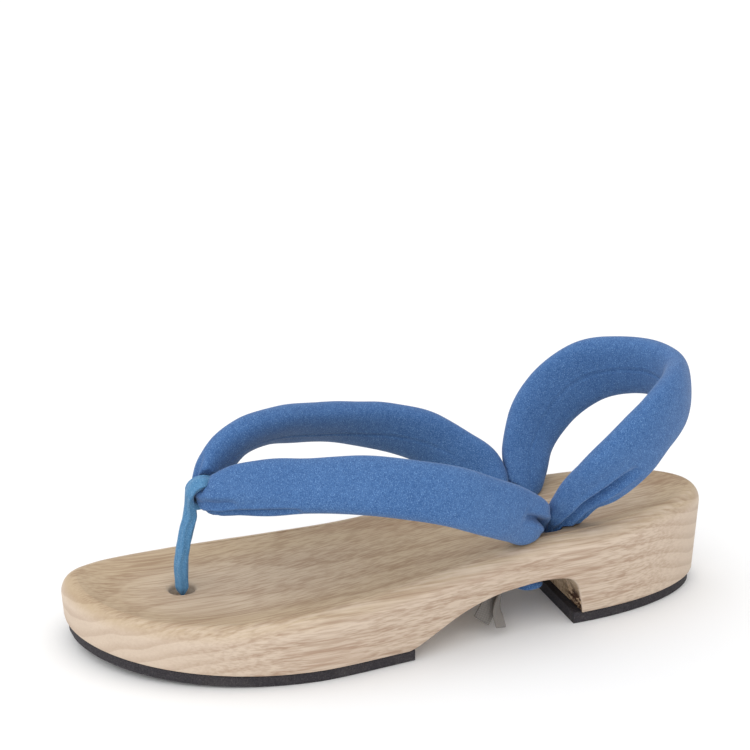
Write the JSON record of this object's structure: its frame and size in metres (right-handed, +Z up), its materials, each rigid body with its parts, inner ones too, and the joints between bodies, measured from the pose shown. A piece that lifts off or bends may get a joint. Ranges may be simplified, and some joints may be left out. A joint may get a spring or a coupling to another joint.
{
  "type": "geta sandal",
  "caption": "Left geta sandal: carved wooden board with a low heel block and an arch, rubber treads, a padded thong and a padded heel strap.",
  "frame": {"origin": "on the floor, under the middle of the sandal's bounding box", "axes": "+Y from heel to toe, +X to the inner side of the foot, +Z up"},
  "size_m": [0.0908, 0.252, 0.0968],
  "materials": {
    "wood": "sanded, pale, with long wavy grain",
    "rubber": "matt black sheet",
    "strap_cloth": "blue crepe over padding",
    "loop_cloth": "lighter blue crepe",
    "tape_cloth": "grey woven tape"
  },
  "bodies": {
    "root": {"sole": "wood", "forefoot_tread": "rubber", "heel_tread": "rubber", "instep_strap": "strap_cloth", "heel_strap": "strap_cloth", "toe_loop": "loop_cloth", "tie_tape_outer": "tape_cloth", "tie_tape_inner": "tape_cloth"}
  },
  "joints": []
}
